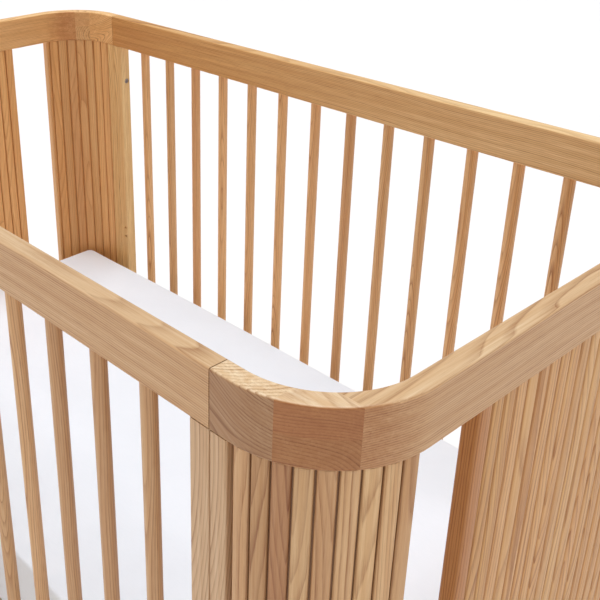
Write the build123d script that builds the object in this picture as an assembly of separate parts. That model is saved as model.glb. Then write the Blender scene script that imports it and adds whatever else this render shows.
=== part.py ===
from build123d import *

import math
import os

# Baby crib with rounded corners. Millimetres, +Z up, X along the length, Y across the width,
# origin on the floor under the middle of the crib.

# ---- Driving dimensions -------------------------------------------------------------------
LENGTH = 1375.0  # outside, along X
WIDTH = 755.0  # outside, along Y
HEIGHT = 900.0  # floor to the top of the rail
RAIL_T = 22.0  # thickness of every rail and stile
RAIL_H = 60.0  # height of every rail
RAIL_EASE = 2.5  # rounded long edges of the rails
CORNER_R = 115.0  # outside radius of the rounded corners
LOWER_RAIL_Z = 90.0  # underside of the bottom rails

SEAM = 136.0  # end face to the joint between end frame and side frame
SEAM_GAP = 1.0  # visible joint between the frames
STILE_W = 25.0  # stile of a side frame
STILE_EDGE = 2.0  # rounded long edges of the stiles

SPINDLE_COUNT = 13
SPINDLE_D = 17.0
TENON_D = 11.0  # round tenon on each end of a spindle
TENON_LEN = 14.0
TENON_FIT = 0.2  # clearance of each tenon in its hole, per side
TENON_END_GAP = 1.0  # air left beyond the end of a round tenon
STILE_TENON = (12.0, 8.0)  # square tenon of a stile, along X and across Y

REED_PITCH = 18.66  # width of one reed, groove to groove
REED_DEPTH = 4.0  # depth of the grooves between reeds
REED_SET_BACK = 1.0  # reeded faces sit this far behind the rail faces
POST_END_DEG = 86.1  # free edge of a corner post, measured round the corner from the side
POST_START_DEG = 2.3  # first reed of a corner post
OUTER_REEDS = 9  # reeds round the outside of a corner post
PANEL_EDGE = 190.0  # side face of the crib to the edge of the centre panel
PANEL_REEDS = 20

TONGUE_T = 6.0  # tongue that seats posts, panels and feet in the rails
TONGUE_H = 8.0
TONGUE_DEG = (12.0, 78.0)  # reach of a curved tongue round the corner
PANEL_TONGUE_INSET = 20.0
FOOT_DEG = (10.0, 80.0)  # reach of a foot round the corner
FOOT_CHAMFER = 2.0

MATTRESS = (1276.0, 664.0, 134.0)
MATTRESS_CORNER = 10.0
MATTRESS_RIM = 4.0  # rounded upper and lower rims
MATTRESS_TOP = 357.0  # mattress base in its lowest position
MATTRESS_GAP = 0.3  # between the mattress and the slats

SLAT = (60.0, 660.0, 12.0)
SLAT_COUNT = 11
SLAT_EASE = 2.0
BEARER_W = 24.0
BEARER_H = 40.0
BEARER_OUT = 340.0  # outer face of a long bearer, from the middle
BEARER_END = 610.0
BEARER_EASE = 1.5
BRACKET_T = 3.0
BRACKET_W = 19.0
BRACKET_INSET = 6.0  # middle of a bracket, from the stile edge that faces the span
BRACKET_ABOVE = 10.0  # metal above the upper bolt
MOVE_GAP = 0.3  # between the stiles and the brackets that move along them
BASE_STEP = 110.0  # distance between the three heights of the mattress base
BRACKET_HOLES = (20.0, 22.0)  # between a bracket's two bolts, and lower bolt above its bearer's foot
BRACKET_HOLE_D = 6.5
BRACKET_HOLE_DEPTH = 12.0
BRACKET_BOLT_HEAD = (11.0, 3.5)  # diameter and height

BOLT_D = 6.0
BOLT_FIT = 0.2  # clearance of a bolt in its hole, per side
BOLT_HEAD = (10.0, 4.0)  # diameter and height
BOLT_SINK = (11.0, 5.0)  # counterbore that hides the head: diameter and depth
BOLT_SOCKET = (2.3, 2.0)  # hexagon socket: radius and depth
BOLT_LEVELS = (260.0, 767.0)
BOLT_OUTWARD = 3.0  # bolts sit this far outward of the middle of the stile
INSERT_D = 10.0  # threaded insert in the end stile
INSERT_LEN = 12.0

# ---- Derived places -----------------------------------------------------------------------
HALF_L = LENGTH / 2
HALF_W = WIDTH / 2
ARC_X = HALF_L - CORNER_R
ARC_Y = HALF_W - CORNER_R
SEAM_X = HALF_L - SEAM
STILE_IN = SEAM_X - STILE_W  # stile face that looks along the side
LOWER_TOP = LOWER_RAIL_Z + RAIL_H
UPPER_Z = HEIGHT - RAIL_H
INNER_R = CORNER_R - RAIL_T
MID_Y = HALF_W - RAIL_T / 2  # middle of the rail thickness
BOLT_Y = -MID_Y - BOLT_OUTWARD
MATTRESS_Z = MATTRESS_TOP - MATTRESS[2]
SLAT_TOP = MATTRESS_Z - MATTRESS_GAP
BEARER_TOP = SLAT_TOP - SLAT[2]
BEARER_Z = BEARER_TOP - BEARER_H
BRACKET_X = STILE_IN + BRACKET_INSET
BRACKET_FACE = HALF_W - RAIL_T - MOVE_GAP
UPPER_BRACKET_BOLT = BEARER_Z + BRACKET_HOLES[1] + BRACKET_HOLES[0]

CORNERS = {"front_right": (1, -1), "front_left": (-1, -1), "back_right": (1, 1), "back_left": (-1, 1)}
SIDES = {"front": -1, "back": 1}
ENDS = {"right": 1, "left": -1}


# ---- Helpers ------------------------------------------------------------------------------
def block(x0, x1, y0, y1, z0, z1):
    """A box between two corners."""
    size = Box(x1 - x0, y1 - y0, z1 - z0)
    return Pos((x0 + x1) / 2, (y0 + y1) / 2, (z0 + z1) / 2) * size


def rod_z(x, y, z0, z1, diameter):
    """An upright cylinder."""
    return Pos(x, y, (z0 + z1) / 2) * Cylinder(diameter / 2, z1 - z0)


def rod_x(x0, x1, y, z, diameter):
    """A cylinder along X."""
    return Pos((x0 + x1) / 2, y, z) * Rot(0, 90, 0) * Cylinder(diameter / 2, abs(x1 - x0))


def rod_y(x, y0, y1, z, diameter):
    """A cylinder along Y."""
    return Pos(x, (y0 + y1) / 2, z) * Rot(90, 0, 0) * Cylinder(diameter / 2, abs(y1 - y0))


def mirrored(shape, sign_x, sign_y):
    """A shape made for the +X, -Y corner, moved to another corner by mirroring."""
    if sign_x < 0:
        shape = mirror(shape, about=Plane.YZ)
    if sign_y > 0:
        shape = mirror(shape, about=Plane.XZ)
    return shape


def corner_point(degrees, radius):
    """A point round the +X, -Y corner: 0 degrees at the side, 90 at the end."""
    angle = math.radians(degrees)
    return (ARC_X + radius * math.sin(angle), -ARC_Y - radius * math.cos(angle))


def corner_sector(r_in, r_out, start, end, z0, z1):
    """An upright curved wall round the +X, -Y corner."""
    middle = (start + end) / 2
    with BuildPart() as part:
        with BuildSketch(Plane.XY.offset(z0)):
            with BuildLine():
                outer = ThreePointArc(*(corner_point(a, r_out) for a in (start, middle, end)))
                inner = ThreePointArc(*(corner_point(a, r_in) for a in (end, middle, start)))
                Line(outer @ 1, inner @ 0)
                Line(inner @ 1, outer @ 0)
            make_face()
        extrude(amount=z1 - z0)
    return part.part


def eased_post(x0, x1, y0, y1, z0, z1, radius):
    """An upright square stick with rounded long edges."""
    stick = block(x0, x1, y0, y1, z0, z1)
    return fillet(stick.edges().filter_by(Axis.Z), radius)


# ---- Reeds --------------------------------------------------------------------------------
# Each reed is drawn as (distance along the surface, depth below the crown): a steep rounded
# flank, a shallow crown and a second flank, with a narrow flat at the bottom of each groove.
FLANK = ((0.5, REED_DEPTH), (1.5, 1.5), (4.2, 0.45))


def reed_arcs(width):
    """The three arcs of one reed of a given width, each as start, middle and end."""
    squeeze = min(1.0, width / 10)
    left = [(s * squeeze, d) for s, d in FLANK]
    right = [(width - s, d) for s, d in reversed(left)]
    crown = [left[-1], (width / 2, 0.0), right[0]]
    return (left, crown, right)


def reeded_line(place, count, width, first=0.0):
    """Arcs and groove bottoms of several reeds; place turns (along, depth) into a point."""
    ends = []
    for index in range(count):
        start = first + index * width
        for arc in reed_arcs(width):
            points = [place(start + s, d) for s, d in arc]
            ThreePointArc(*points)
            ends.append((points[0], points[-1]))
    for index in range(2, len(ends) - 1, 3):
        Line(ends[index][1], ends[index + 1][0])
    return ends[0][0], ends[-1][1]


def corner_post():
    """Curved post of the +X, -Y corner, reeded outside and inside."""
    r_out = CORNER_R - REED_SET_BACK
    r_in = INNER_R + REED_SET_BACK
    outer_width = math.radians(POST_END_DEG - POST_START_DEG) * r_out / OUTER_REEDS
    inner_span = math.radians(POST_END_DEG - POST_START_DEG) * r_in
    inner_count = int(inner_span // REED_PITCH)
    inner_rest = inner_span - inner_count * REED_PITCH

    def outside(along, depth):
        return corner_point(POST_START_DEG + math.degrees(along / r_out), r_out - depth)

    def inside(along, depth):
        return corner_point(POST_START_DEG + math.degrees(along / r_in), r_in + depth)

    with BuildPart() as part:
        with BuildSketch(Plane.XY.offset(LOWER_TOP)):
            with BuildLine():
                out_start, out_end = reeded_line(outside, OUTER_REEDS, outer_width)
                in_start, in_end = reeded_line(inside, inner_count, REED_PITCH)
                last = reeded_line(inside, 1, inner_rest, inner_count * REED_PITCH)
                Line(in_end, last[0])
                Line(out_start, in_start)
                Line(out_end, last[1])
            make_face()
        extrude(amount=UPPER_Z - LOWER_TOP)
    return part.part + tongue(0) + tongue(1)


def tongue_sector(z0, z1, fit):
    """Curved tongue of a post or foot, or with a fit the groove that takes it."""
    middle_r = (CORNER_R + INNER_R) / 2
    half = TONGUE_T / 2 + fit
    reach = math.degrees(fit / middle_r)
    start, end = TONGUE_DEG
    return corner_sector(middle_r - half, middle_r + half, start - reach, end + reach, z0, z1)


def tongue(upper, fit=0.0):
    """Tongue at the lower or upper end of a corner post."""
    if upper:
        return tongue_sector(UPPER_Z, UPPER_Z + TONGUE_H + fit, fit)
    return tongue_sector(LOWER_TOP - TONGUE_H - fit, LOWER_TOP, fit)


def panel_tongue(sign_x, upper, fit=0.0):
    """Straight tongue at the lower or upper edge of a centre panel."""
    half_y = HALF_W - PANEL_EDGE - PANEL_TONGUE_INSET + fit
    middle = sign_x * (HALF_L - RAIL_T / 2)
    half_x = TONGUE_T / 2 + fit
    z0 = UPPER_Z if upper else LOWER_TOP - TONGUE_H - fit
    z1 = UPPER_Z + TONGUE_H + fit if upper else LOWER_TOP
    return block(middle - half_x, middle + half_x, -half_y, half_y, z0, z1)


def end_panel():
    """Flat reeded panel in the middle of the +X end."""
    x_out = HALF_L - REED_SET_BACK
    x_in = HALF_L - RAIL_T + REED_SET_BACK
    half = HALF_W - PANEL_EDGE
    width = 2 * half / PANEL_REEDS

    def outside(along, depth):
        return (x_out - depth, along - half)

    def inside(along, depth):
        return (x_in + depth, along - half)

    with BuildPart() as part:
        with BuildSketch(Plane.XY.offset(LOWER_TOP)):
            with BuildLine():
                out_start, out_end = reeded_line(outside, PANEL_REEDS, width)
                in_start, in_end = reeded_line(inside, PANEL_REEDS, width)
                Line(out_start, in_start)
                Line(out_end, in_end)
            make_face()
        extrude(amount=UPPER_Z - LOWER_TOP)
    return part.part + panel_tongue(1, 0) + panel_tongue(1, 1)


# ---- Rails --------------------------------------------------------------------------------
BLOCK_CUT_X = HALF_L - 72.0  # glue joint between the two blocks of a corner
BLOCK_CUT_Y = HALF_W - 51.5  # glue joint between the corner and the end rail
LAMINATION = 0.5  # glue line in the outer corner block, as a share of the rail height


def rail_ring(z0):
    """A whole ring of rail round the crib, before it is divided."""
    outer = RectangleRounded(LENGTH, WIDTH, CORNER_R)
    inner = RectangleRounded(LENGTH - 2 * RAIL_T, WIDTH - 2 * RAIL_T, INNER_R)
    ring = extrude(Plane.XY.offset(z0) * (outer - inner), RAIL_H)
    edges = ring.edges().filter_by(lambda e: abs(e.bounding_box().size.Z) < 1e-6)
    return fillet(edges, RAIL_EASE)


def stile_spans():
    """X spans of the two stiles at the +X seam: side frame's, then end frame's."""
    half_gap = SEAM_GAP / 2
    return (STILE_IN, SEAM_X - half_gap), (SEAM_X + half_gap, ARC_X - 0.5)


def stile_tenon(x0, x1, upper, fit=0.0):
    """Square tenon of a stile near the front side, or with a fit its mortise."""
    middle = (x0 + x1) / 2
    half_x, half_y = (size / 2 + fit for size in STILE_TENON)
    z0 = UPPER_Z if upper else LOWER_TOP - TENON_LEN - fit
    z1 = UPPER_Z + TENON_LEN + fit if upper else LOWER_TOP
    return block(middle - half_x, middle + half_x, -MID_Y - half_y, -MID_Y + half_y, z0, z1)


def spindle_places():
    """X of each spindle: equal clear gaps between the stiles."""
    gap = (2 * STILE_IN - SPINDLE_COUNT * SPINDLE_D) / (SPINDLE_COUNT + 1)
    first = -STILE_IN + gap + SPINDLE_D / 2
    return [first + i * (gap + SPINDLE_D) for i in range(SPINDLE_COUNT)]


def front_rail(ring, upper):
    """Long rail of the front side frame with its holes and mortises."""
    z0 = UPPER_Z if upper else LOWER_RAIL_Z
    reach = SEAM_X - SEAM_GAP / 2
    rail = ring & block(-reach, reach, -HALF_W - 1, 0, z0 - 1, z0 + RAIL_H + 1)
    hole_d = TENON_D + 2 * TENON_FIT
    depth = TENON_LEN + TENON_END_GAP
    hole_z = (UPPER_Z, UPPER_Z + depth) if upper else (LOWER_TOP - depth, LOWER_TOP)
    for x in spindle_places():
        rail -= rod_z(x, -MID_Y, *hole_z, hole_d)
    mortise = stile_tenon(*stile_spans()[0], upper, TENON_FIT)
    rail -= mortise
    rail -= mirror(mortise, about=Plane.YZ)
    return rail


def corner_part(ring, upper):
    """Rail ring round the +X, -Y corner with the mortise and groove under or over it."""
    z0 = UPPER_Z if upper else LOWER_RAIL_Z
    piece = ring & block(SEAM_X + SEAM_GAP / 2, HALF_L + 1, -HALF_W - 1, -BLOCK_CUT_Y + 80, z0 - 1,
                         z0 + RAIL_H + 1)
    piece -= stile_tenon(*stile_spans()[1], upper, TENON_FIT)
    piece -= tongue(upper, TENON_FIT)
    if not upper:
        piece -= tongue_sector(LOWER_RAIL_Z, LOWER_RAIL_Z + TONGUE_H + TENON_FIT, TENON_FIT)
    return piece


def corner_blocks(ring, upper):
    """The glued blocks of one rounded corner, as separate solids."""
    z0 = UPPER_Z if upper else LOWER_RAIL_Z
    z1 = z0 + RAIL_H
    middle = z0 + LAMINATION * RAIL_H
    whole = corner_part(ring, upper)
    inner = whole & block(0, BLOCK_CUT_X, -HALF_W - 1, -BLOCK_CUT_Y, z0 - 1, z1 + 1)
    lower = whole & block(BLOCK_CUT_X, HALF_L + 1, -HALF_W - 1, -BLOCK_CUT_Y, z0 - 1, middle)
    raised = whole & block(BLOCK_CUT_X, HALF_L + 1, -HALF_W - 1, -BLOCK_CUT_Y, middle, z1 + 1)
    rest = whole & block(0, BLOCK_CUT_X, -BLOCK_CUT_Y, 0, z0 - 1, z1 + 1)
    if rest.volume > 1:
        inner += rest
    return list(inner.solids()) + list(lower.solids()) + list(raised.solids())


def end_rail(ring, upper):
    """Straight rail of the +X end, with the start of both curves on its ends."""
    z0 = UPPER_Z if upper else LOWER_RAIL_Z
    rail = ring & block(BLOCK_CUT_X, HALF_L + 1, -BLOCK_CUT_Y, BLOCK_CUT_Y, z0 - 1, z0 + RAIL_H + 1)
    grooves = [tongue(upper, TENON_FIT)]
    if not upper:
        grooves.append(tongue_sector(LOWER_RAIL_Z, LOWER_RAIL_Z + TONGUE_H + TENON_FIT, TENON_FIT))
    for groove in grooves:
        rail -= groove
        rail -= mirror(groove, about=Plane.XZ)
    rail -= panel_tongue(1, upper, TENON_FIT)
    return rail


# ---- Stiles, spindles and feet ------------------------------------------------------------
def bracket_hole_levels():
    """Height of every bracket bolt hole in a side stile."""
    levels = []
    for step in range(3):
        upper = UPPER_BRACKET_BOLT + step * BASE_STEP
        levels += [upper, upper - BRACKET_HOLES[0]]
    return levels


def side_stile():
    """Stile of the side frame at the +X, -Y corner, drilled for frame and bracket bolts."""
    x0, x1 = stile_spans()[0]
    stile = eased_post(x0, x1, -HALF_W, -HALF_W + RAIL_T, LOWER_TOP, UPPER_Z, STILE_EDGE)
    stile += stile_tenon(x0, x1, 0)
    stile += stile_tenon(x0, x1, 1)
    for z in BOLT_LEVELS:
        stile -= rod_x(x0, x1, BOLT_Y, z, BOLT_D + 2 * BOLT_FIT)
        stile -= rod_x(x0, x0 + BOLT_SINK[1], BOLT_Y, z, BOLT_SINK[0])
    inner_face = -HALF_W + RAIL_T
    for z in bracket_hole_levels():
        stile -= rod_y(BRACKET_X, inner_face - BRACKET_HOLE_DEPTH, inner_face, z, BRACKET_HOLE_D)
    return stile


def end_stile():
    """Flat stile of the end frame, bored for the threaded inserts and the bolt ends."""
    x0, x1 = stile_spans()[1]
    stile = eased_post(x0, x1, -HALF_W, -HALF_W + RAIL_T, LOWER_TOP, UPPER_Z, STILE_EDGE)
    stile += stile_tenon(x0, x1, 0)
    stile += stile_tenon(x0, x1, 1)
    for z in BOLT_LEVELS:
        stile -= rod_x(x0, x0 + INSERT_LEN + BOLT_FIT, BOLT_Y, z, INSERT_D + BOLT_FIT)
    return stile


def frame_bolt(z):
    """Bolt with a cap head sunk in the side stile, through to the threaded insert."""
    seat = STILE_IN + BOLT_SINK[1]
    top = seat - BOLT_HEAD[1]
    head = rod_x(top, seat, BOLT_Y, z, BOLT_HEAD[0])
    head = chamfer(head.edges().group_by(Axis.X)[0], 0.8)
    shank = rod_x(seat, SEAM_X + SEAM_GAP / 2 + INSERT_LEN - 2, BOLT_Y, z, BOLT_D)
    plane = Plane.YZ.offset(top)
    socket = extrude(plane * Pos(BOLT_Y, z) * RegularPolygon(BOLT_SOCKET[0], 6), BOLT_SOCKET[1])
    return head + shank - socket


def threaded_insert(z):
    """Steel insert in the end stile that the frame bolt screws into."""
    x0 = SEAM_X + SEAM_GAP / 2
    body = rod_x(x0, x0 + INSERT_LEN, BOLT_Y, z, INSERT_D)
    return body - rod_x(x0, x0 + INSERT_LEN, BOLT_Y, z, BOLT_D + BOLT_FIT)


def spindle(x, sign_y):
    """Round spindle with a smaller round tenon at each end."""
    y = sign_y * MID_Y
    body = rod_z(x, y, LOWER_TOP, UPPER_Z, SPINDLE_D)
    tenon = rod_z(x, y, LOWER_TOP - TENON_LEN, UPPER_Z + TENON_LEN, TENON_D)
    return body + tenon


def foot():
    """Curved foot under the +X, -Y corner, with a rounded lower edge."""
    wall = corner_sector(INNER_R + REED_SET_BACK, CORNER_R - REED_SET_BACK, *FOOT_DEG, 0, LOWER_RAIL_Z)
    wall = chamfer(wall.edges().group_by(Axis.Z)[0], FOOT_CHAMFER)
    return wall + tongue_sector(LOWER_RAIL_Z, LOWER_RAIL_Z + TONGUE_H, 0)


# ---- Mattress and its base ----------------------------------------------------------------
def mattress():
    """Foam mattress as a plain closed block."""
    length, width, thick = MATTRESS
    plan = RectangleRounded(length, width, MATTRESS_CORNER)
    body = extrude(Plane.XY.offset(MATTRESS_Z) * plan, thick)
    rims = body.edges().group_by(Axis.Z)
    return fillet(rims[0] + rims[-1], MATTRESS_RIM)


def base_bearers():
    """Two long and two cross bearers under the slats."""
    inner = BEARER_OUT - BEARER_W
    bearers = []
    for sign in (-1, 1):
        y0, y1 = sorted((sign * inner, sign * BEARER_OUT))
        bearers.append(block(-BEARER_END, BEARER_END, y0, y1, BEARER_Z, BEARER_TOP))
        x0, x1 = sorted((sign * (BEARER_END - BEARER_W), sign * BEARER_END))
        bearers.append(block(x0, x1, -inner, inner, BEARER_Z, BEARER_TOP))
    return [fillet(bearer.edges().filter_by(Axis.Z), BEARER_EASE) for bearer in bearers]


def base_slats():
    """Slats across the bearers."""
    wide, long, thick = SLAT
    reach = BEARER_END - wide / 2
    slats = []
    for index in range(SLAT_COUNT):
        x = -reach + 2 * reach * index / (SLAT_COUNT - 1)
        slat = block(x - wide / 2, x + wide / 2, -long / 2, long / 2, BEARER_TOP, SLAT_TOP)
        slats.append(fillet(slat.edges().filter_by(Axis.Y), SLAT_EASE))
    return slats


def base_bracket():
    """Steel angle under the bearer at the +X, -Y corner, with an upright leg at the stile."""
    x0 = BRACKET_X - BRACKET_W / 2
    x1 = BRACKET_X + BRACKET_W / 2
    y0 = -BRACKET_FACE
    upright = block(x0, x1, y0, y0 + BRACKET_T, BEARER_Z - BRACKET_T, UPPER_BRACKET_BOLT + BRACKET_ABOVE)
    shelf = block(x0, x1, y0, -BEARER_OUT + BEARER_W, BEARER_Z - BRACKET_T, BEARER_Z)
    bracket = upright + shelf
    for z in bracket_hole_levels()[:2]:
        bracket -= rod_y(BRACKET_X, y0, y0 + BRACKET_T, z, BOLT_D + 2 * BOLT_FIT)
    return bracket


def bracket_bolt(z):
    """Pan-head bolt of a bracket; the shank stops at the stile face."""
    inner_face = -BRACKET_FACE + BRACKET_T
    diameter, height = BRACKET_BOLT_HEAD
    head = rod_y(BRACKET_X, inner_face, inner_face + height, z, diameter)
    head = fillet(head.edges().group_by(Axis.Y)[-1], 1.5)
    shank = rod_y(BRACKET_X, -BRACKET_FACE, inner_face, z, BOLT_D)
    return head + shank


# ---- Nodes --------------------------------------------------------------------------------
def build_nodes():
    """Every node of the crib, by name."""
    nodes = {}
    rings = {"top": (rail_ring(UPPER_Z), 1), "bottom": (rail_ring(LOWER_RAIL_Z), 0)}
    for level, (ring, upper) in rings.items():
        long_rail = front_rail(ring, upper)
        cross_rail = end_rail(ring, upper)
        blocks = corner_blocks(ring, upper)
        for side, sign_y in SIDES.items():
            nodes[f"side_{level}_rail_{side}"] = mirrored(long_rail, 1, sign_y)
        for end, sign_x in ENDS.items():
            pieces = [mirrored(cross_rail, sign_x, -1)]
            if not upper:
                pieces += [mirrored(b, sign_x, sign_y) for b in blocks for sign_y in (-1, 1)]
            nodes[f"end_{level}_rail_{end}"] = Compound(children=pieces)
        if upper:
            for corner, signs in CORNERS.items():
                nodes[f"top_corner_{corner}"] = Compound(children=[mirrored(b, *signs) for b in blocks])

    by_corner = {"side_stile": side_stile(), "end_stile": end_stile(), "corner_post": corner_post()}
    for name, shape in by_corner.items():
        for corner, signs in CORNERS.items():
            nodes[f"{name}_{corner}"] = mirrored(shape, *signs)

    panel = end_panel()
    for end, sign_x in ENDS.items():
        nodes[f"end_panel_{end}"] = mirrored(panel, sign_x, -1)

    for side, sign_y in SIDES.items():
        for index, x in enumerate(spindle_places(), 1):
            nodes[f"spindle_{side}_{index:02d}"] = spindle(x, sign_y)

    nodes["mattress"] = mattress()
    nodes["base_bearers"] = Compound(children=base_bearers())
    nodes["base_slats"] = Compound(children=base_slats())

    groups = {
        "feet": [foot()],
        "base_brackets": [base_bracket()],
        "bracket_bolts": [bracket_bolt(z) for z in bracket_hole_levels()[:2]],
        "frame_bolts": [frame_bolt(z) for z in BOLT_LEVELS],
        "threaded_inserts": [threaded_insert(z) for z in BOLT_LEVELS],
    }
    for name, shapes in groups.items():
        copies = [mirrored(shape, *signs) for shape in shapes for signs in CORNERS.values()]
        nodes[name] = Compound(children=copies)
    return nodes


os.makedirs("parts", exist_ok=True)
for node_name, node_shape in build_nodes().items():
    export_step(node_shape, f"parts/{node_name}.step")
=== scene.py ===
import math
import random

import bmesh
import bpy
from mathutils import Matrix, Vector, noise


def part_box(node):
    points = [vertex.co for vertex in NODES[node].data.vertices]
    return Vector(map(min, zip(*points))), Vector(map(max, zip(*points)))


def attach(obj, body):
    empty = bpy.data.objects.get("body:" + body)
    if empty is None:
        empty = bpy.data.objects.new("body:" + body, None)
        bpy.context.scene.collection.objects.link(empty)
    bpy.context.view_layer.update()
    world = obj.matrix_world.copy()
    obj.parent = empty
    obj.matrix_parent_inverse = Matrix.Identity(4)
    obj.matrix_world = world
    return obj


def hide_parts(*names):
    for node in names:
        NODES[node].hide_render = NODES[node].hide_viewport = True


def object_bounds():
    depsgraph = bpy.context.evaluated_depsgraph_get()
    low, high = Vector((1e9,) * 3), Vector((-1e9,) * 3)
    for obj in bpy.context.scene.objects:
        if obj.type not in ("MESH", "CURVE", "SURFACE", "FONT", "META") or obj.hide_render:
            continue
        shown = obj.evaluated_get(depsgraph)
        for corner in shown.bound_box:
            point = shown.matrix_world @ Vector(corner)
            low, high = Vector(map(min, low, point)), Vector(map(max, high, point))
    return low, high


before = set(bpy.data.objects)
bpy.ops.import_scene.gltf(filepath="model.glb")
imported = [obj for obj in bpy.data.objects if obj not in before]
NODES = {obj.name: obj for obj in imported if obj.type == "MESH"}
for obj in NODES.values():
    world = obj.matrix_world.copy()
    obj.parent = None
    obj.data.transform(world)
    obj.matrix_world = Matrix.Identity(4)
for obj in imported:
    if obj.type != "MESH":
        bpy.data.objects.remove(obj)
cad_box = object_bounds()
MM = 0.001

# Places worked out from the frame, in metres.
HIGH = Vector(cad_box[1])
TOP_Z = HIGH.z
HALF_L = HIGH.x
HALF_W = HIGH.y
RAIL_LOW, RAIL_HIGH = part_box("side_top_rail_front")
RAIL_H = RAIL_HIGH.z - RAIL_LOW.z
CORNER_R = 115 * MM
ARC = Vector((HALF_L - CORNER_R, HALF_W - CORNER_R))


# ---- Small helpers for node trees -----------------------------------------------------------
class Graph:
    """Builds one node tree: every call adds a node and returns the output asked for."""

    def __init__(self, tree):
        self.tree = tree

    def add(self, kind, inputs=None, out=0, **settings):
        node = self.tree.nodes.new(kind)
        for key, value in settings.items():
            setattr(node, key, value)
        for key, value in (inputs or {}).items():
            self.put(node.inputs[key], value)
        return node.outputs[out]

    def put(self, socket, value):
        if isinstance(value, bpy.types.NodeSocket):
            self.tree.links.new(value, socket)
        else:
            socket.default_value = value

    def math(self, operation, a, b=0.0, c=0.0):
        return self.add("ShaderNodeMath", {0: a, 1: b, 2: c}, operation=operation)

    def vector(self, operation, a, b=(0, 0, 0)):
        return self.add("ShaderNodeVectorMath", {0: a, 1: b}, operation=operation)

    def split(self, vector):
        node = self.tree.nodes.new("ShaderNodeSeparateXYZ")
        self.tree.links.new(vector, node.inputs[0])
        return node.outputs[0], node.outputs[1], node.outputs[2]

    def join(self, x, y, z):
        return self.add("ShaderNodeCombineXYZ", {0: x, 1: y, 2: z})

    def noise(self, vector, scale=1.0, detail=2.0, rough=0.5):
        return self.add("ShaderNodeTexNoise", {"Vector": vector, "Scale": scale, "Detail": detail,
                                               "Roughness": rough})

    def random(self, vector):
        """A random colour for each whole-number vector."""
        return self.add("ShaderNodeTexWhiteNoise", {"Vector": vector}, out=1,
                        noise_dimensions="3D")

    def remap(self, value, low, high, to_low=0.0, to_high=1.0):
        return self.add("ShaderNodeMapRange", {0: value, 1: low, 2: high, 3: to_low, 4: to_high})

    def mix(self, factor, a, b, blend="MIX"):
        node = self.tree.nodes.new("ShaderNodeMix")
        node.data_type = "RGBA"
        node.blend_type = blend
        self.put(node.inputs[0], factor)
        self.put(node.inputs[6], a)
        self.put(node.inputs[7], b)
        return node.outputs[2]

    def ramp(self, value, stops):
        node = self.tree.nodes.new("ShaderNodeValToRGB")
        elements = node.color_ramp.elements
        while len(elements) < len(stops):
            elements.new(0.5)
        for element, (position, colour) in zip(elements, stops):
            element.position = position
            element.color = (*colour, 1)
        self.put(node.inputs[0], value)
        return node.outputs[0]


def material(name):
    """A new material with its graph and its shader node."""
    mat = bpy.data.materials.new(name)
    mat.use_nodes = True
    shader = mat.node_tree.nodes["Principled BSDF"]
    return mat, Graph(mat.node_tree), shader


# ---- Ash wood -------------------------------------------------------------------------------
LIGHT_ASH = (0.76, 0.53, 0.315)
HONEY_ASH = (0.60, 0.345, 0.16)
DARK_ASH = (0.335, 0.142, 0.05)
RED_ASH = (0.47, 0.225, 0.105)
FULL_ASH = (LIGHT_ASH, HONEY_ASH, DARK_ASH)
SOFT_ASH = (LIGHT_ASH, HONEY_ASH, (0.47, 0.235, 0.095))
# Painted shade: dark colours laid into the grooves between reeds, where shade falls.
GROOVE_SHADE = (0.22, 0.095, 0.036)
WARM_GROOVE_SHADE = (0.42, 0.155, 0.035)
# Painted light: upright faces warmer as if lit by bounce light, tops paler and cooler as if lit from above
# with a sheen.
SIDE_BOUNCE_TONE = (0.975, 0.92, 0.84)
TOP_LIGHT_TONE = (1.07, 1.12, 1.15)
END_GRAIN = (0.80, 0.66, 0.56)
PALE_PINE = ((0.78, 0.66, 0.48), (0.70, 0.56, 0.38), (0.52, 0.38, 0.22))

# How often each kind of figure repeats in a metre: along the fibres, then twice across them.
BEND_PITCH = (2.0, 5.0, 5.0)
RIPPLE_PITCH = (9.0, 40.0, 40.0)
PORE_PITCH = (42.0, 1200.0, 1200.0)
FIBRE_PITCH = (12.0, 480.0, 480.0)
STRIP_PITCH = (1.6, 130.0, 130.0)
PATCH_PITCH = (2.5, 14.0, 14.0)
BEND_REACH = 50 * MM  # how far slow bends and small ripples push the rings
RIPPLE_REACH = 2 * MM
STAVE_SHIFT = (3.1, 0.055, 0.05)  # how far apart in the tree two staves are cut, in metres
STAVE_DEPTH = (0.0, 0.0, 0.012)
EARLY_WOOD = ((0.0, (1, 1, 1)), (0.12, (0.7, 0.7, 0.7)), (0.42, (0.12, 0.12, 0.12)),
              (0.90, (0.0, 0.0, 0.0)), (1.0, (1, 1, 1)))  # darkness through one ring
EARLY_SHARE = 0.95  # strength of the dark early wood and of the pores
PORE_SHARE = 0.85


def board(middle, axis):
    """Place in a board, in metres from its middle: along the grain, across it, and depth."""
    def place(g, point):
        x, y, z = g.split(g.vector("SUBTRACT", point, tuple(middle)))
        order = {"X": (x, y, z), "Y": (y, x, z), "Z": (z, x, y)}[axis]
        return g.join(*order), None, None
    return place


def middle_of(node_name):
    """Middle of a node's box."""
    low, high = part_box(node_name)
    return (low + high) / 2


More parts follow.
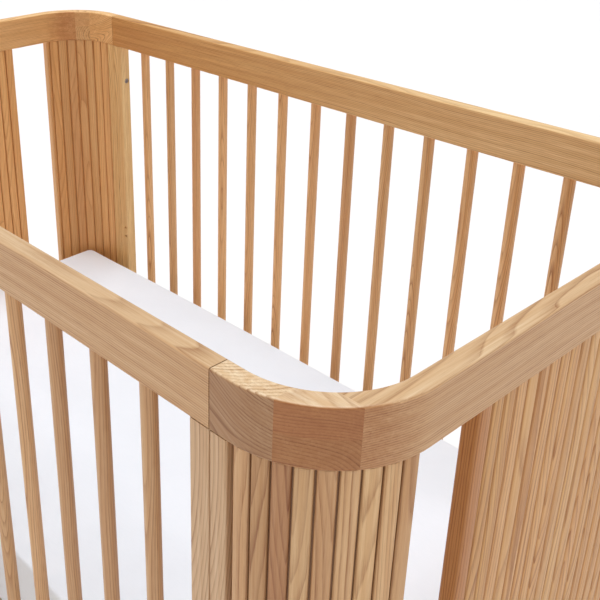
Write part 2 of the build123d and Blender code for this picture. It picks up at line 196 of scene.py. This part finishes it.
def ash_wood(name, place, seed, tint=1.0, red=0.0, rings=2.6, swirl=1.0, heart=None, rough=0.42,
             colours=FULL_ASH, hue=(1.0, 1.0, 1.0), tints=None, grain=None,
             painted_light_fade=None, groove_shade_tone=GROOVE_SHADE, spread=1.0):
    """Ash with growth rings cut by the surface, streaks of open pores and slow colour changes; tops
    paler and sides warmer as painted light. place gives the point in the board, for glued-up pieces a
    whole-number vector for each stave, and for reeded pieces a mask of painted shade in the grooves.
    rings is the ring width in millimetres, swirl how much the rings wander, heart where the middle of
    the tree lies, tints a function that colours staves one by one, grain the world direction of the
    fibres, painted_light_fade a function for painted light changing along the board, groove_shade_tone the
    colour of the painted shade between reeds, and spread how much the staves differ."""
    mat, g, shader = material(name)
    dice = random.Random(seed)
    point = g.add("ShaderNodeTexCoord", out=3)
    spot, stave, groove_shade = place(g, point)
    shade = None
    if stave is not None:
        shade = g.random(g.vector("ADD", stave, (dice.randint(0, 40), 0, 0)))
        shift = g.vector("MULTIPLY", g.vector("SUBTRACT", shade, (0.0, 0.5, 0.0)), STAVE_SHIFT)
        spot = g.vector("ADD", spot, g.vector("ADD", shift, STAVE_DEPTH))
    if heart is None:
        heart = (dice.uniform(-0.025, 0.025), dice.uniform(0.02, 0.06)) if stave is None else (0, 0)
    along, across, depth = g.split(spot)

    # Distance from the heart of the tree, bent by slow noise: rings and cathedral arches.
    slow = g.vector("MULTIPLY", spot, BEND_PITCH)
    bend = g.noise(g.vector("ADD", slow, (dice.uniform(0, 50), dice.uniform(0, 50), 7.0)), 1.0, 1.0)
    ripple = g.noise(g.vector("MULTIPLY", spot, RIPPLE_PITCH), 1.0, 1.0)
    dy = g.math("ADD", across, heart[0])
    dz = g.math("ADD", depth, heart[1])
    square = g.math("ADD", g.math("MULTIPLY", dy, dy), g.math("MULTIPLY", dz, dz))
    bent = g.math("MULTIPLY_ADD", bend, BEND_REACH * swirl, g.math("SQRT", square))
    bent = g.math("MULTIPLY_ADD", ripple, RIPPLE_REACH * swirl, bent)
    turn = g.math("DIVIDE", bent, rings * MM)
    phase = g.math("FRACT", turn)
    year = g.add("ShaderNodeTexWhiteNoise", {"W": g.math("FLOOR", turn)}, out=0, noise_dimensions="1D")

    # Streaks: coarse pores in the early wood, fine fibres everywhere.
    pore = g.noise(g.vector("MULTIPLY", spot, PORE_PITCH), 1.0, 2.0, 0.6)
    fibre = g.noise(g.vector("MULTIPLY", spot, FIBRE_PITCH), 1.0, 3.0, 0.6)
    strip = g.noise(g.vector("MULTIPLY", spot, STRIP_PITCH), 1.0, 2.0, 0.5)
    early = g.ramp(phase, EARLY_WOOD)
    early = g.math("MULTIPLY", early, g.remap(year, 0.0, 1.0, 0.3, 1.15))
    early = g.math("MULTIPLY", early, g.remap(fibre, 0.3, 0.7, 0.6, 1.15))
    pores = g.math("MULTIPLY", g.remap(pore, 0.54, 0.66), g.math("MULTIPLY_ADD", early, 0.8, 0.2))

    light, honey, dark = ((*c, 1) for c in colours)
    ground = g.mix(g.remap(fibre, 0.3, 0.72, 0.0, 0.8), light, honey)
    ground = g.mix(g.remap(strip, 0.40, 0.68, 0.0, 0.75), ground, honey)
    patch = g.noise(g.vector("MULTIPLY", spot, PATCH_PITCH), 1.0, 2.0)
    ground = g.mix(g.remap(patch, 0.42, 0.78, 0.0, 0.5), ground, honey)
    colour = g.mix(g.math("MULTIPLY", early, EARLY_SHARE), ground, dark)
    colour = g.mix(g.math("MULTIPLY", pores, PORE_SHARE), colour, dark)
    if tints is not None:
        colour = g.mix(1.0, colour, tints(g, stave), "MULTIPLY")
    if shade is not None and spread:
        first, second, _ = g.split(shade)
        colour = g.mix(g.remap(first, 0.6, 1.0, 0.0, 0.45 * spread), colour, (*RED_ASH, 1))
        level = g.remap(second, 0.0, 1.0, 1 - 0.12 * spread, 1 + 0.10 * spread)
        colour = g.mix(1.0, colour, g.join(level, level, level), "MULTIPLY")
    if red:
        colour = g.mix(red, colour, (*RED_ASH, 1))
    if grain is not None:
        facing = g.add("ShaderNodeVectorMath", {0: g.add("ShaderNodeNewGeometry", out=1), 1: grain},
                       out=1, operation="DOT_PRODUCT")
        end = g.remap(g.math("ABSOLUTE", facing), 0.05, 0.45)
        colour = g.mix(end, colour, g.mix(1.0, colour, (*END_GRAIN, 1), "MULTIPLY"))
    # Painted light: a colour change along the board, brighter where more light would fall.
    if painted_light_fade is not None:
        colour = g.mix(1.0, colour, painted_light_fade(g, point), "MULTIPLY")
    colour = g.mix(1.0, colour, (*(tint * h for h in hue), 1), "MULTIPLY")
    # Painted light: the colour turns paler and cooler on faces that look up, and warmer on upright faces.
    up = g.math("ABSOLUTE", g.split(g.add("ShaderNodeNewGeometry", out=1))[2])
    tone = g.mix(g.remap(up, 0.4, 0.95), (*SIDE_BOUNCE_TONE, 1), (*TOP_LIGHT_TONE, 1))
    colour = g.mix(1.0, colour, tone, "MULTIPLY")
    # Painted shade: the grooves between reeds are darkened towards the groove shade colour.
    if groove_shade is not None:
        colour = g.mix(groove_shade, colour, (*groove_shade_tone, 1))
    g.put(shader.inputs["Base Color"], colour)

    gloss = g.math("MULTIPLY_ADD", early, 0.12, rough)
    g.put(shader.inputs["Roughness"], g.math("MULTIPLY_ADD", fibre, 0.08, gloss))
    shader.inputs["Specular IOR Level"].default_value = 0.5
    height = g.math("SUBTRACT", g.math("MULTIPLY", fibre, 0.35), g.math("MULTIPLY_ADD", pores, 0.9, early))
    bump = g.add("ShaderNodeBump", {"Strength": 0.14, "Distance": 0.0003, "Height": height})
    g.put(shader.inputs["Normal"], bump)
    return mat


# ---- Which stave a point of a reeded or glued piece belongs to ----------------------------------
POST_START = math.radians(2.3)
POST_END = math.radians(86.1)
OUTER_REEDS = 9
OUTER_R = CORNER_R - 1 * MM
INNER_R = CORNER_R - 21 * MM
INNER_PITCH = 18.66 * MM
PANEL_LOW, PANEL_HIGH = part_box("end_panel_right")
PANEL_REEDS = 20
REED_SHADE = (8.9 * MM, 6.2 * MM)  # distance from the middle of a reeded piece over which painted shade fills the grooves
FIRST_BLOCK = 72 * MM  # end face of the crib to the glue line after the first corner block
INNER_ROW = 20.0  # number given to the first reed inside a post, to tell it from those outside


def in_stave(g, along, number, width):
    """Distance across one stave from its middle, where along and width share a unit."""
    start = g.math("MULTIPLY_ADD", number, width, width / 2)
    return g.math("SUBTRACT", along, start)


def post_place(g, point):
    """Place in the reed of a corner post; the reeds inside and outside are separate staves."""
    x, y, z = g.split(point)
    dx = g.math("SUBTRACT", g.math("ABSOLUTE", x), ARC.x)
    dy = g.math("SUBTRACT", g.math("ABSOLUTE", y), ARC.y)
    angle = g.math("SUBTRACT", g.math("ARCTAN2", dx, dy), POST_START)
    radius = g.math("SQRT", g.math("ADD", g.math("MULTIPLY", dx, dx), g.math("MULTIPLY", dy, dy)))
    outside = g.math("GREATER_THAN", radius, (OUTER_R + INNER_R) / 2)
    outer_angle = (POST_END - POST_START) / OUTER_REEDS
    inner_angle = INNER_PITCH / INNER_R
    outer = g.math("FLOOR", g.math("DIVIDE", angle, outer_angle))
    inner = g.math("FLOOR", g.math("DIVIDE", angle, inner_angle))
    outer_across = g.math("MULTIPLY", in_stave(g, angle, outer, outer_angle), OUTER_R)
    inner_across = g.math("MULTIPLY", in_stave(g, angle, inner, inner_angle), INNER_R)
    across = g.add("ShaderNodeMix", {0: outside, 2: inner_across, 3: outer_across})
    number = g.add("ShaderNodeMix", {0: outside, 2: g.math("ADD", inner, INNER_ROW), 3: outer})
    depth = g.math("ABSOLUTE", g.math("SUBTRACT", radius, (OUTER_R + INNER_R) / 2))
    stave = g.join(number, g.math("SIGN", x), g.math("SIGN", y))
    # Painted shade in the grooves: darker with depth from the reed's middle, stronger outside than inside,
    # none at the free edges.
    between = g.math("ABSOLUTE", g.math("SUBTRACT", angle, (POST_END - POST_START) / 2))
    inside_ends = g.math("LESS_THAN", between, (POST_END - POST_START) / 2 - math.radians(0.5))
    shadow = g.math("MULTIPLY_ADD", outside, 0.45, 0.40)
    groove_shade = g.math("MULTIPLY", g.remap(depth, *REED_SHADE, 0.0, 1.0), shadow)
    return g.join(z, across, depth), stave, g.math("MULTIPLY", groove_shade, inside_ends)


def panel_place(g, point):
    """Place in the reed of a centre panel."""
    x, y, z = g.split(point)
    width = (PANEL_HIGH.y - PANEL_LOW.y) / PANEL_REEDS
    along = g.math("SUBTRACT", y, PANEL_LOW.y)
    reed = g.math("FLOOR", g.math("DIVIDE", along, width))
    depth = g.math("SUBTRACT", g.math("ABSOLUTE", x), (PANEL_LOW.x + PANEL_HIGH.x) / 2)
    depth = g.math("ABSOLUTE", depth)
    # Painted shade in the grooves between panel reeds: darker with depth, none at the panel's edges.
    groove_shade = g.remap(depth, *REED_SHADE, 0.0, 0.6)
    edge = g.math("ABSOLUTE", g.math("SUBTRACT", along, (PANEL_HIGH.y - PANEL_LOW.y) / 2))
    groove_shade = g.math("MULTIPLY", groove_shade, g.math("LESS_THAN", edge, PANEL_HIGH.y - 1 * MM))
    return g.join(z, in_stave(g, along, reed, width), depth), g.join(reed, g.math("SIGN", x), 5.0), groove_shade


def block_place(g, point):
    """Place in a glued block of a rail corner: the first block's grain runs down at a slant."""
    x, y, z = g.split(point)
    size_x = g.math("ABSOLUTE", x)
    outer = g.math("GREATER_THAN", size_x, HALF_L - FIRST_BLOCK)
    raised = g.math("GREATER_THAN", z, TOP_Z - RAIL_H / 2)
    layer = g.math("MULTIPLY", outer, g.math("ADD", raised, 1.0))
    slant = g.math("MULTIPLY_ADD", outer, -0.50, 0.60)
    run = g.math("SUBTRACT", size_x, HALF_L - 0.10)
    rise = g.math("SUBTRACT", z, TOP_Z - RAIL_H / 2)
    along = g.math("SUBTRACT", run, g.math("MULTIPLY", rise, slant))
    depth = g.math("ADD", rise, g.math("MULTIPLY", run, slant))
    across = g.math("SUBTRACT", g.math("ABSOLUTE", y), HALF_W - 0.03)
    return g.join(along, across, depth), g.join(layer, g.math("SIGN", x), g.math("SIGN", y)), None


def stepped(g, value, colours):
    """One colour for each whole number from zero up."""
    node = g.tree.nodes.new("ShaderNodeValToRGB")
    node.color_ramp.interpolation = "CONSTANT"
    elements = node.color_ramp.elements
    while len(elements) < len(colours):
        elements.new(0.5)
    for index, (element, colour) in enumerate(zip(elements, colours)):
        element.position = index / len(colours)
        element.color = (*colour, 1)
    share = g.math("DIVIDE", g.math("ADD", value, 0.5), len(colours))
    g.put(node.inputs[0], share)
    return node.outputs[0]


BLOCK_TINTS = ((0.62, 0.55, 0.51), (0.65, 0.46, 0.29), (0.59, 0.36, 0.18))
PANEL_TINTS = ((0.80, 0.61, 0.43), (0.95, 0.88, 0.71), (0.95, 0.89, 0.75), (1.04, 1.0, 0.96),
               (1.10, 1.10, 1.03), (1.06, 1.02, 0.94), (1.02, 0.96, 0.88), (1.06, 1.04, 0.98),
               (1.10, 1.06, 1.0), (1.06, 1.06, 1.04), (1.08, 1.10, 1.08), (1.02, 0.98, 0.90),
               (1.06, 1.0, 0.92), (1.10, 1.08, 1.02), (1.04, 1.0, 0.94), (1.08, 1.06, 1.0),
               (1.0, 0.94, 0.86), (1.08, 1.06, 1.02), (1.06, 1.02, 0.96), (1.02, 0.98, 0.92))
POST_TINTS = ((1.0, 0.98, 0.97), (0.79, 0.70, 0.59), (0.71, 0.56, 0.46), (0.96, 0.95, 0.90),
              (0.92, 0.86, 0.81), (1.08, 1.10, 1.10), (1.12, 1.16, 1.13), (1.08, 1.08, 1.03),
              (0.90, 0.80, 0.67))


# Painted light: corner block tops paler and cooler, as if lit from above.
BLOCK_TOP_LIGHT = (1.13, 1.24, 1.36)
BACK_RAIL_LIGHT_ENDS = ((1.06, 0.84, 0.50), (1.28, 1.32, 1.18))  # painted light tint at the left and at the right


def block_tints(g, stave):
    """Darker sides where a corner block shows end grain; paler, cooler tops are painted light from above.
    """
    sides = stepped(g, g.split(stave)[0], BLOCK_TINTS)
    up = g.split(g.add("ShaderNodeNewGeometry", out=1))[2]
    return g.mix(g.remap(g.math("ABSOLUTE", up), 0.5, 0.95), sides, (*BLOCK_TOP_LIGHT, 1))


def post_tints(g, stave):
    """The reeds of the front right post, from the side to its free edge."""
    return stepped(g, g.split(stave)[0], POST_TINTS)


def panel_tints(g, stave):
    """The reeds of the right panel, from its front edge."""
    return stepped(g, g.split(stave)[0], PANEL_TINTS)


def back_rail_light(g, point):
    """Painted light along the back rail: darker and warmer towards its left end, brighter and paler
    towards its right end.
    """
    x = g.split(point)[0]
    left, right = ((*tint, 1) for tint in BACK_RAIL_LIGHT_ENDS)
    return g.mix(g.remap(x, -0.5, 0.35), left, right)


# ---- Other materials --------------------------------------------------------------------------
BOLT_STEEL = (0.40, 0.33, 0.30)
INSERT_STEEL = (0.55, 0.55, 0.56)
BRACKET_STEEL = (0.62, 0.62, 0.61)
COTTON = (0.85, 0.88, 0.915)
COTTON_CLOUD = (0.82, 0.85, 0.885)
COTTON_SLUB = (0.74, 0.77, 0.80)
WEAVE = 2.6 * MM  # thread spacing


def steel(name, colour, rough):
    """Plain zinc-coated steel with fine uneven gloss."""
    mat, g, shader = material(name)
    point = g.add("ShaderNodeTexCoord", out=3)
    grain = g.noise(point, 900.0, 3.0)
    tone = g.remap(grain, 0.3, 0.7, 0.85, 1.1)
    g.put(shader.inputs["Base Color"], g.mix(1.0, (*colour, 1), g.join(tone, tone, tone), "MULTIPLY"))
    g.put(shader.inputs["Roughness"], g.math("MULTIPLY_ADD", grain, 0.2, rough))
    shader.inputs["Metallic"].default_value = 1.0
    return mat


def mattress_fabric():
    """White cotton cover: fine woven ribs, soft unevenness and a faint cool tint."""
    mat, g, shader = material("white_cotton")
    point = g.add("ShaderNodeTexCoord", out=3)
    x, y, z = g.split(point)
    cloud = g.noise(point, 9.0, 3.0)
    warp = g.math("SINE", g.math("MULTIPLY", g.math("ADD", x, z), 2 * math.pi / WEAVE))
    weft = g.math("SINE", g.math("MULTIPLY", g.math("ADD", y, z), 2 * math.pi / WEAVE))
    weave = g.math("MULTIPLY", warp, weft)
    slub = g.noise(g.vector("MULTIPLY", point, (70.0, 900.0, 300.0)), 1.0, 2.0)
    tone = g.mix(g.remap(cloud, 0.35, 0.7), (*COTTON, 1), (*COTTON_CLOUD, 1))
    tone = g.mix(g.remap(slub, 0.5, 0.75, 0.0, 0.18), tone, (*COTTON_SLUB, 1))
    g.put(shader.inputs["Base Color"], tone)
    g.put(shader.inputs["Roughness"], g.math("MULTIPLY_ADD", slub, 0.1, 0.82))
    shader.inputs["Sheen Weight"].default_value = 0.25
    shader.inputs["Sheen Roughness"].default_value = 0.5
    height = g.math("MULTIPLY_ADD", weave, 0.5, slub)
    bump = g.add("ShaderNodeBump", {"Strength": 0.25, "Distance": 0.0002, "Height": height})
    g.put(shader.inputs["Normal"], bump)
    return mat


# ---- Putting materials on the CAD nodes ---------------------------------------------------------
def wear(node_name, mat):
    """Gives a CAD node one material."""
    mesh = NODES[node_name].data
    mesh.materials.clear()
    mesh.materials.append(mat)


PLAIN = (1.0, 1.0, 1.0)
# Warmer wood tone plus painted light: the far left pieces are made brighter, as if more lit.
WARM_LIT = (1.34, 1.26, 1.02)
WARM_LIT_STILE = (1.38, 1.50, 1.32)
PALE_STILE = (1.0, 1.09, 1.26)
RIGHT_END = (0.98, 0.97, 0.95)
RIGHT_PANEL = (1.02, 0.96, 0.80)
BACK_SPINDLES_LIT = (1.03, 0.98, 0.88)
SPINDLES = 13


def dress_rails():
    """Grain along each rail; every rail is its own board."""
    for side, seed, painted_light_fade in (("front", 11, None), ("back", 12, back_rail_light)):
        for level, tint in (("top", 0.97), ("bottom", 0.96)):
            name = f"side_{level}_rail_{side}"
            wear(name, ash_wood(f"ash_{name}", board(middle_of(name), "X"), seed + 20 * (level == "top"),
                                tint=tint, heart=(0.004, 0.05), painted_light_fade=painted_light_fade))
    for end, seed, hue in (("right", 51, RIGHT_END), ("left", 52, WARM_LIT)):
        for level in ("top", "bottom"):
            name = f"end_{level}_rail_{end}"
            wear(name, ash_wood(f"ash_{name}", board(middle_of(name), "Y"), seed + 20 * (level == "top"),
                                heart=(-0.012, 0.06), hue=hue, grain=(0, 1, 0)))


def dress_corners():
    """Corner blocks, stiles and reeded posts."""
    for index, corner in enumerate(("front_right", "front_left", "back_right", "back_left")):
        # The far left corner gets the warmer tone with painted light.
        hue = WARM_LIT if corner == "back_left" else PLAIN
        tints = post_tints if corner == "front_right" else None
        wear(f"top_corner_{corner}", ash_wood(f"ash_block_{corner}", block_place, 71 + index, hue=hue,
                                              tints=block_tints if tints else None, swirl=1.5, rings=3.0))
        wear(f"corner_post_{corner}", ash_wood(f"ash_post_{corner}", post_place, 81 + index, hue=hue,
                                               tints=tints, spread=0.0 if tints else 0.6,
                                               colours=FULL_ASH if tints else SOFT_ASH,
                                               groove_shade_tone=GROOVE_SHADE if tints else WARM_GROOVE_SHADE))
        for frame_name in ("side", "end"):
            name = f"{frame_name}_stile_{corner}"
            stile_hue = WARM_LIT_STILE if corner == "back_left" else PALE_STILE
            wear(name, ash_wood(f"ash_{name}", board(middle_of(name), "Z"), 91 + index, hue=stile_hue,
                                heart=(0.02, 0.05)))


def dress_panels():
    """Reeded centre panels of the ends."""
    for index, (end, hue) in enumerate((("right", RIGHT_PANEL), ("left", WARM_LIT))):
        wear(f"end_panel_{end}", ash_wood(f"ash_panel_{end}", panel_place, 111 + index, hue=hue,
                                          tints=panel_tints, spread=0.35, groove_shade_tone=WARM_GROOVE_SHADE,
                                          colours=FULL_ASH if end == "right" else SOFT_ASH))


def dress_spindles():
    """Each spindle is turned from its own strip, some of them redder or darker; the back row is warmer in
    tone and painted brighter, as if more lit.
    """
    dice = random.Random(5)
    for side in ("front", "back"):
        for index in range(1, SPINDLES + 1):
            red = max(0.0, dice.uniform(-0.35, 0.4))
            # Painted light: the back spindles are made brighter, as if more lit.
            tint = dice.uniform(0.98, 1.12) * (1.18 if side == "back" else 1.0)
            name = f"spindle_{side}_{index:02d}"
            wear(name, ash_wood(f"ash_{name}", board(middle_of(name), "Z"), 200 + index + 20 * len(side),
                                tint=tint, red=red,
                                hue=BACK_SPINDLES_LIT if side == "back" else PLAIN))


def dress_base():
    """Feet, mattress base and hardware."""
    wear("feet", ash_wood("ash_feet", post_place, 121))
    for name, axis in (("base_bearers", "X"), ("base_slats", "Y")):
        wear(name, ash_wood(f"pine_{name}", board(middle_of(name), axis), 131, rough=0.6, rings=6.0,
                            colours=PALE_PINE))
    bolt = steel("dark_bolt_steel", BOLT_STEEL, 0.42)
    for name in ("frame_bolts", "bracket_bolts"):
        wear(name, bolt)
    wear("threaded_inserts", steel("insert_steel", INSERT_STEEL, 0.3))
    wear("base_brackets", steel("bracket_steel", BRACKET_STEEL, 0.35))


# ---- Mattress -----------------------------------------------------------------------------------
VOXEL = 6 * MM
PAD_INSET = 2 * MM  # the pad starts smaller than its space, and swells
PAD_HEADROOM = 4 * MM
PAD_CORNER = 10 * MM
PAD_RIM = 3.5 * MM
CROWN = 8 * MM  # rise along the middle, and the extra rise in the very middle
DOME = 2 * MM
SWELL_LIMIT = 4 * MM
FILL_PRESSURE = 4.0
FILL_FRAMES = 20


def bevelled_block(low, high, corner, rim):
    """A closed block with rounded upright corners and rims."""
    size = high - low
    bm = bmesh.new()
    bmesh.ops.create_cube(bm, size=1.0)
    for vertex in bm.verts:
        vertex.co = low + Vector(((v + 0.5) * s for v, s in zip(vertex.co, size)))
    upright = [e for e in bm.edges if abs(e.verts[0].co.z - e.verts[1].co.z) > size.z / 2]
    bmesh.ops.bevel(bm, geom=upright, offset=corner, segments=5, affect="EDGES", profile=0.5)
    rims = [e for e in bm.edges if abs(e.verts[0].co.z - e.verts[1].co.z) < 1e-6
            and abs(e.link_faces[0].normal.z - e.link_faces[1].normal.z) > 0.5]
    bmesh.ops.bevel(bm, geom=rims, offset=rim, segments=4, affect="EDGES", profile=0.5)
    return bm


def swell(piece, limit):
    """Fills the cover with a short cloth simulation, then scales the swelling to a limit."""
    scene = bpy.context.scene
    start = [vertex.co.copy() for vertex in piece.data.vertices]
    cloth = piece.modifiers.new("fill", "CLOTH")
    cloth.settings.use_pressure = True
    cloth.settings.uniform_pressure_force = FILL_PRESSURE
    cloth.settings.effector_weights.gravity = 0.0
    cloth.point_cache.frame_start = 1
    cloth.point_cache.frame_end = FILL_FRAMES
    for number in range(1, FILL_FRAMES + 1):
        scene.frame_set(number)
    settled = piece.evaluated_get(bpy.context.evaluated_depsgraph_get()).data
    moves = [vertex.co - first for vertex, first in zip(settled.vertices, start)]
    piece.modifiers.remove(cloth)
    scene.frame_set(1)
    share = min(1.0, limit / max(move.length for move in moves))
    for vertex, first, move in zip(piece.data.vertices, start, moves):
        vertex.co = first + move * share


def soft_mattress():
    """Foam mattress in a tight cover: crisp rims, a shallow crown, flat where it rests."""
    low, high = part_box("mattress")
    inset = Vector((PAD_INSET, PAD_INSET, 0))
    top = Vector((high.x, high.y, high.z - PAD_HEADROOM)) - inset
    bm = bevelled_block(low + inset, top, PAD_CORNER, PAD_RIM)
    mesh = bpy.data.meshes.new("mattress_pad")
    bm.to_mesh(mesh)
    bm.free()
    piece = bpy.data.objects.new("mattress_pad", mesh)
    bpy.context.scene.collection.objects.link(piece)
    bpy.context.view_layer.objects.active = piece
    mesh.remesh_voxel_size = VOXEL
    bpy.ops.object.voxel_remesh()
    for vertex in mesh.vertices:
        height = (vertex.co.z - low.z) / (top.z - low.z)
        along = 1 - (vertex.co.x / top.x) ** 2
        across = 1 - (vertex.co.y / top.y) ** 2
        vertex.co.z += height ** 2 * (CROWN * along + DOME * along * across)
    swell(piece, SWELL_LIMIT)
    for vertex in mesh.vertices:
        vertex.co.z = max(vertex.co.z, low.z)
        vertex.co.x = min(max(vertex.co.x, low.x), high.x)
        vertex.co.y = min(max(vertex.co.y, low.y), high.y)
    smooth = piece.modifiers.new("smooth", "SUBSURF")
    smooth.levels = smooth.render_levels = 1
    bpy.ops.object.modifier_apply(modifier=smooth.name)
    for polygon in mesh.polygons:
        polygon.use_smooth = True
    mesh.materials.append(mattress_fabric())
    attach(piece, "mattress_pad")
    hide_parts("mattress")
    return piece


# ---- Studio -------------------------------------------------------------------------------------
FLOOR_PALE = ((0.93, 0.915, 0.89), (0.95, 0.935, 0.91))
FLOOR_RADIUS = 40
SKY = ((0.0, (0.97, 0.95, 0.92)), (0.14, (0.84, 0.81, 0.78)), (0.36, (0.32, 0.31, 0.30)),
       (0.6, (0.06, 0.06, 0.06)))  # brightness of the surroundings from the horizon up
SOFTBOX = (1.0, 0.96, 0.92)
COOL = (0.97, 1.0, 1.06)


def studio():
    """Pale floor, white surroundings, soft light from above."""
    mat, g, shader = material("pale_floor")
    point = g.add("ShaderNodeTexCoord", out=3)
    cloud = g.noise(point, 2.0, 2.0)
    g.put(shader.inputs["Base Color"], g.mix(cloud, *((*tone, 1) for tone in FLOOR_PALE)))
    shader.inputs["Roughness"].default_value = 0.9
    bpy.ops.mesh.primitive_circle_add(vertices=64, radius=FLOOR_RADIUS, fill_type="NGON",
                                      location=(0, 0, -0.0005))
    floor = bpy.context.object
    floor.name = "floor"
    floor.data.materials.append(mat)

    world = bpy.data.worlds.new("studio")
    bpy.context.scene.world = world
    world.use_nodes = True
    back = world.node_tree.nodes["Background"]
    g = Graph(world.node_tree)
    rise = g.split(g.add("ShaderNodeTexCoord", out=0))[2]
    g.put(back.inputs["Color"], g.ramp(rise, SKY))
    lamp("overhead", 2.75, 45, 88, -90, COOL)
    lamp("left_softbox", 0.30, 30, 40, -125, SOFTBOX)
    lamp("right_softbox", 0.22, 30, 40, 35, SOFTBOX)
    bpy.context.scene.view_settings.view_transform = "Standard"


def lamp(name, energy, spread, elevation, azimuth, colour):
    """A soft distant light; elevation and azimuth in degrees say where it shines from."""
    light = bpy.data.lights.new(name, "SUN")
    light.energy = energy
    light.color = colour
    light.angle = math.radians(spread)
    holder = bpy.data.objects.new(name, light)
    bpy.context.scene.collection.objects.link(holder)
    up, round_z = math.radians(elevation), math.radians(azimuth)
    towards = Vector((math.cos(up) * math.cos(round_z), math.cos(up) * math.sin(round_z), math.sin(up)))
    holder.rotation_euler = towards.to_track_quat("Z", "Y").to_euler()


CAMERA_ANGLES = (49.049, 24.805, -0.553)  # round the crib, above the horizon, and roll
CAMERA_LENS = 57.65
CAMERA_SHIFT = (0.1837, -0.1124)
CAMERA_SPOT = (1.0336, -0.8146, TOP_Z + 0.4203)


def camera():
    """Camera over the front right corner, looking down along the crib."""
    azimuth, elevation, roll = (math.radians(a) for a in CAMERA_ANGLES)
    back = Vector((math.sin(azimuth) * math.cos(elevation), -math.cos(azimuth) * math.cos(elevation),
                   math.sin(elevation)))
    right = Vector((math.cos(azimuth), math.sin(azimuth), 0))
    up = back.cross(right)
    turned = right * math.cos(roll) + up * math.sin(roll)
    upright = back.cross(turned)
    data = bpy.data.cameras.new("camera")
    data.sensor_width = 36
    data.lens = CAMERA_LENS
    data.shift_x, data.shift_y = CAMERA_SHIFT
    data.clip_end = 200
    view = bpy.data.objects.new("camera", data)
    bpy.context.scene.collection.objects.link(view)
    view.matrix_world = Matrix.Translation(CAMERA_SPOT) @ Matrix(
        (turned, upright, back)).transposed().to_4x4()
    bpy.context.scene.camera = view


for cad_object in NODES.values():
    cad_object.data.set_sharp_from_angle(angle=math.radians(32))
dress_rails()
dress_corners()
dress_panels()
dress_spindles()
dress_base()
soft_mattress()
studio()
camera()
